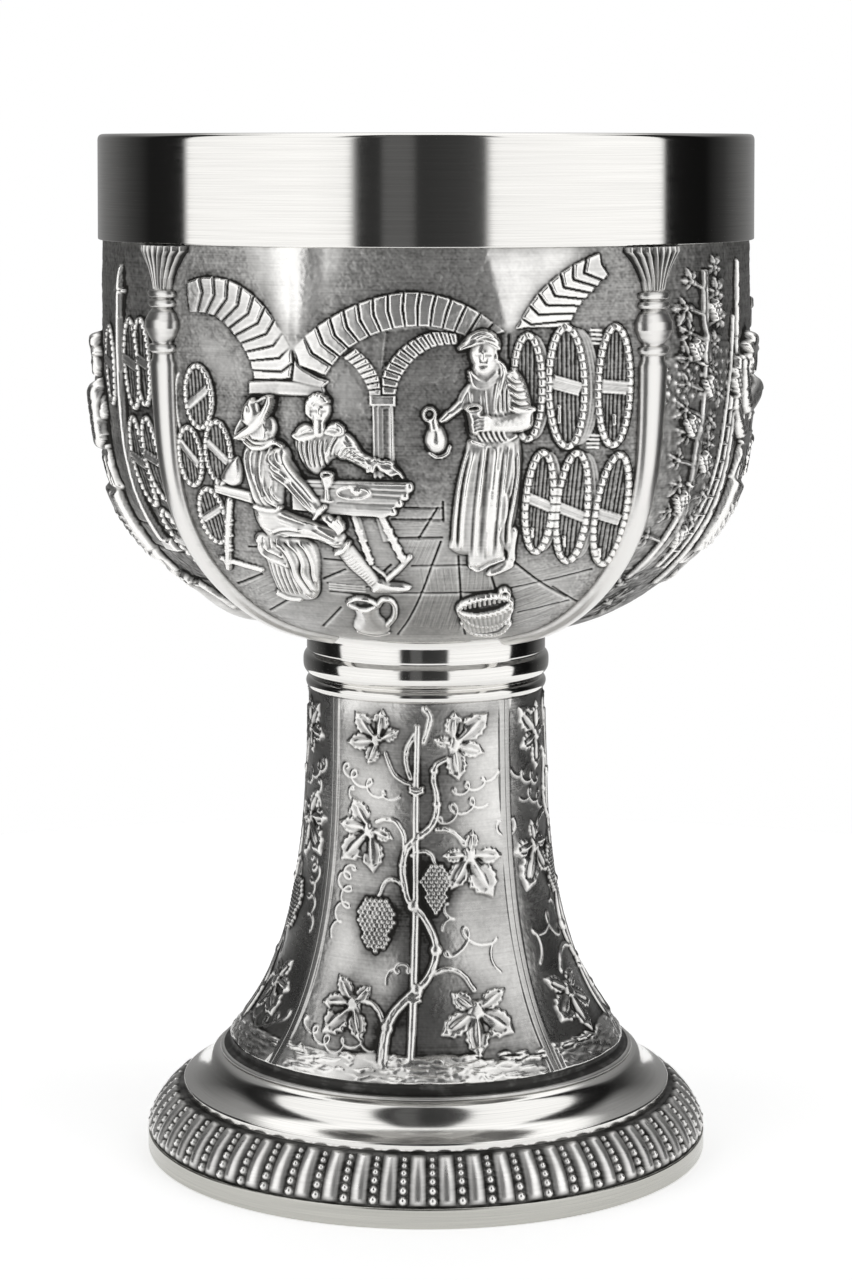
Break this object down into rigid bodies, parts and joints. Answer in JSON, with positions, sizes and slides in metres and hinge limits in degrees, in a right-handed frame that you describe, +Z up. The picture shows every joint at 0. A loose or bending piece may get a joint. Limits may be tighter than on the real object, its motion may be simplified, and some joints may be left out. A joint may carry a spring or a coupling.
{
  "type": "footed wine goblet",
  "caption": "Footed metal goblet with a relief bowl between columns, a flared relief stem with vine leaves, and a beaded round foot.",
  "frame": {"origin": "centre of the goblet's underside, on the table", "axes": "+Z up along the goblet's axis; -Y towards the middle of the front relief panel; columns at 45 degrees between X and Y"},
  "size_m": [0.0882, 0.0882, 0.14],
  "materials": {
    "polished_metal": "polished pewter with fine turning lines",
    "relief_metal": "cast pewter relief, bright on the high places and dark in the hollows",
    "liner_metal": "satin turned pewter",
    "hidden_metal": "plain cast pewter, as turned",
    "steel": "zinc-plated steel",
    "felt": "dark green wool felt"
  },
  "bodies": {
    "root": {"cup_liner": "liner_metal", "lip_band": "polished_metal", "bowl_panel_front": "relief_metal", "bowl_panel_right": "relief_metal", "bowl_panel_back": "relief_metal", "bowl_panel_left": "relief_metal", "bowl_column_front_left": "relief_metal", "bowl_column_front_right": "relief_metal", "bowl_column_back_right": "relief_metal", "bowl_column_back_left": "relief_metal", "bowl_boss": "hidden_metal", "collar": "polished_metal", "stem_top_plate": "hidden_metal", "stem_panel_front": "relief_metal", "stem_panel_right": "relief_metal", "stem_panel_back": "relief_metal", "stem_panel_left": "relief_metal", "stem_base_ring": "relief_metal", "foot_dome": "polished_metal", "foot_border": "relief_metal", "foot_rim": "polished_metal", "foot_plate": "hidden_metal", "base_felt": "felt", "tie_rod": "steel", "tie_washer": "steel", "tie_nut": "steel"}
  },
  "joints": []
}
